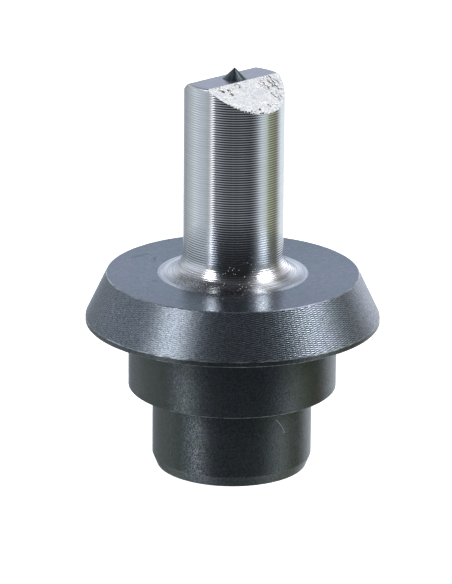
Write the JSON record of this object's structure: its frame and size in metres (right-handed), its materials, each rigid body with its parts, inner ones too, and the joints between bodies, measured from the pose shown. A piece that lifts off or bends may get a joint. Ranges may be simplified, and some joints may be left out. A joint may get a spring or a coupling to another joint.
{
  "type": "round punch",
  "caption": "Round hole punch: a turned shank with a roof-ground end and centre point, rising from a conical clamping collar with a stepped back end.",
  "frame": {"origin": "centre of the flat back face of the spigot, on the punch's axis", "axes": "+Z along the punch's axis from the back face to the centre point; +X along the ridge between the two ground slopes"},
  "size_m": [0.0398, 0.0398, 0.0555],
  "materials": {
    "tool_steel": "hardened tool steel, blackened on the collar and back end, turned bright on the shank and ground bright on the end"
  },
  "bodies": {
    "root": {"punch": "tool_steel"}
  },
  "joints": []
}
